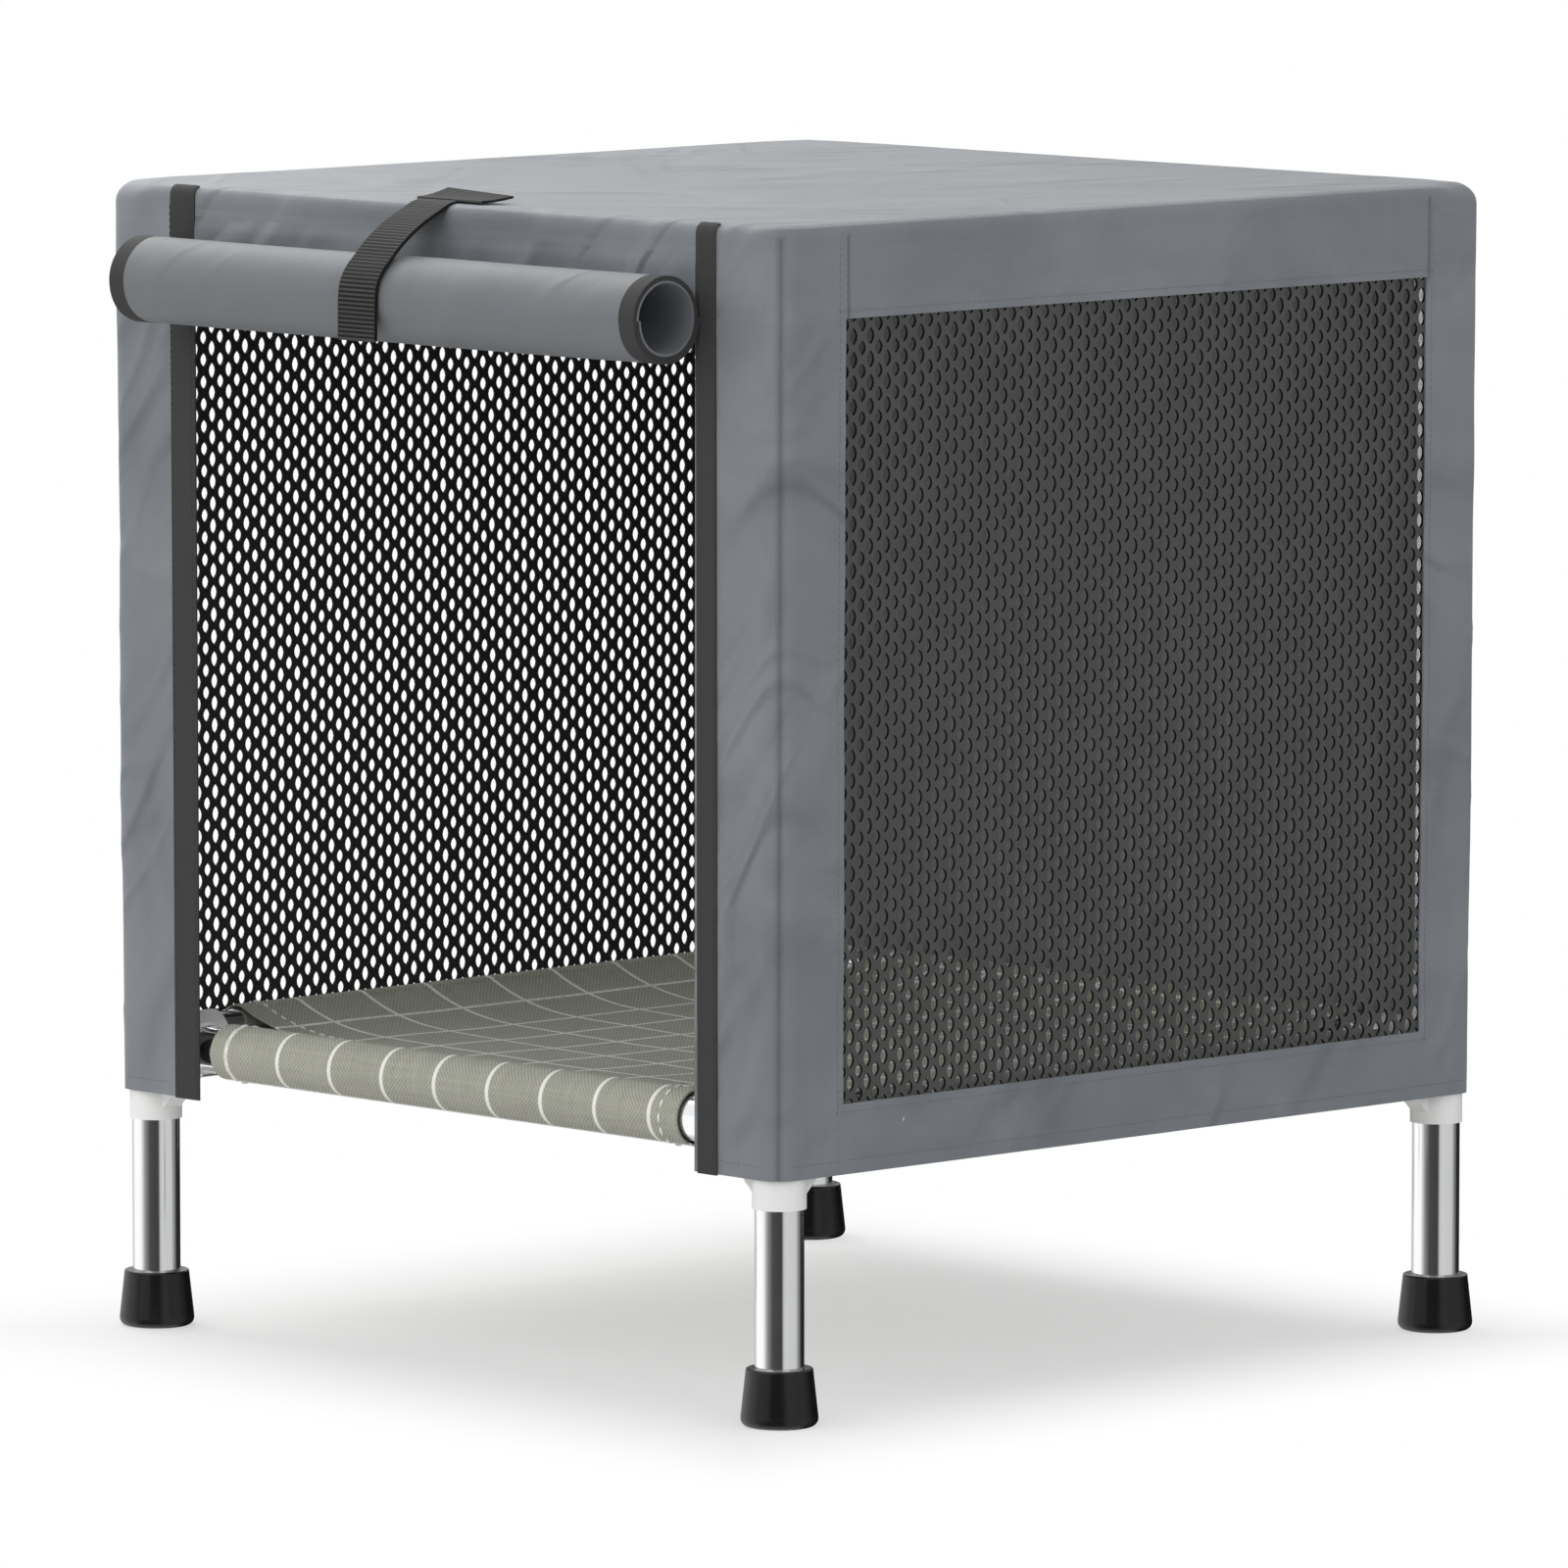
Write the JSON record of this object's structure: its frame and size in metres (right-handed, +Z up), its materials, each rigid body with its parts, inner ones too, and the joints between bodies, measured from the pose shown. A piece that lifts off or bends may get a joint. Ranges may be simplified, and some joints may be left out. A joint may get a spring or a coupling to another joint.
{
  "type": "raised pet bed with tent cover",
  "caption": "Raised pet bed with a push-fit tube frame, rubber feet, a sagging checked sling and a lift-off cloth cover with net side windows and a door flap rolled up under a strap.",
  "frame": {"origin": "on the floor, under the middle of the part's bounding box", "axes": "+X to the right seen from the door, +Y from the door to the back, +Z up"},
  "size_m": [0.5142, 0.56, 0.6058],
  "materials": {
    "frame_tube": "bright plated steel tube",
    "connector_plastic": "white moulded plastic, satin",
    "foot_rubber": "moulded black rubber, satin",
    "sling_cloth": "grey-green plain weave with a thin white window check",
    "cover_cloth": "coated grey plain-weave cloth, duller on the inside",
    "window_net": "black coated open net",
    "door_tape": "dark grey woven tape",
    "strap_webbing": "black ribbed webbing"
  },
  "bodies": {
    "frame": {"foot_front_left": "foot_rubber", "foot_front_right": "foot_rubber", "foot_back_left": "foot_rubber", "foot_back_right": "foot_rubber", "leg_front_left": "frame_tube", "leg_front_right": "frame_tube", "leg_back_left": "frame_tube", "leg_back_right": "frame_tube", "lower_connector_front_left": "connector_plastic", "lower_connector_front_right": "connector_plastic", "lower_connector_back_left": "connector_plastic", "lower_connector_back_right": "connector_plastic", "post_front_left": "frame_tube", "post_front_right": "frame_tube", "post_back_left": "frame_tube", "post_back_right": "frame_tube", "top_connector_front_left": "connector_plastic", "top_connector_front_right": "connector_plastic", "top_connector_back_left": "connector_plastic", "top_connector_back_right": "connector_plastic", "deck_rail_front": "frame_tube", "deck_rail_back": "frame_tube", "deck_rail_left": "frame_tube", "deck_rail_right": "frame_tube", "top_rail_front": "frame_tube", "top_rail_back": "frame_tube", "top_rail_left": "frame_tube", "top_rail_right": "frame_tube", "sling": "sling_cloth"},
    "cover": {"roof_panel": "cover_cloth", "corner_panel_front_left": "cover_cloth", "corner_panel_front_right": "cover_cloth", "corner_panel_back_left": "cover_cloth", "corner_panel_back_right": "cover_cloth", "back_panel": "cover_cloth", "front_header": "cover_cloth", "top_band_left": "cover_cloth", "top_band_right": "cover_cloth", "bottom_band_left": "cover_cloth", "bottom_band_right": "cover_cloth", "mesh_window_left": "window_net", "mesh_window_right": "window_net", "door_tape_left": "door_tape", "door_tape_right": "door_tape", "flap_seam": "cover_cloth", "flap_sheet": "cover_cloth", "strap_anchor": "strap_webbing"},
    "flap_roll": {"flap_roll": "cover_cloth", "flap_edging_left": "door_tape", "flap_edging_right": "door_tape"},
    "tie_strap": {"tie_strap": "strap_webbing"}
  },
  "joints": [
    {"name": "cover_lift", "type": "slide", "parent": "frame", "child": "cover", "axis": [0, 0, 1], "range_m": [0, 0.5]},
    {"name": "flap_drop", "type": "slide", "parent": "cover", "child": "flap_roll", "axis": [0, 0, -1], "range_m": [0, 0.407], "deforming": ["flap_sheet"]},
    {"name": "strap_swing", "type": "hinge", "parent": "cover", "child": "tie_strap", "pos_m": [-0.0055, -0.2149, 0.6058], "axis": [-1, 0, 0], "range_deg": [0, 110]}
  ]
}
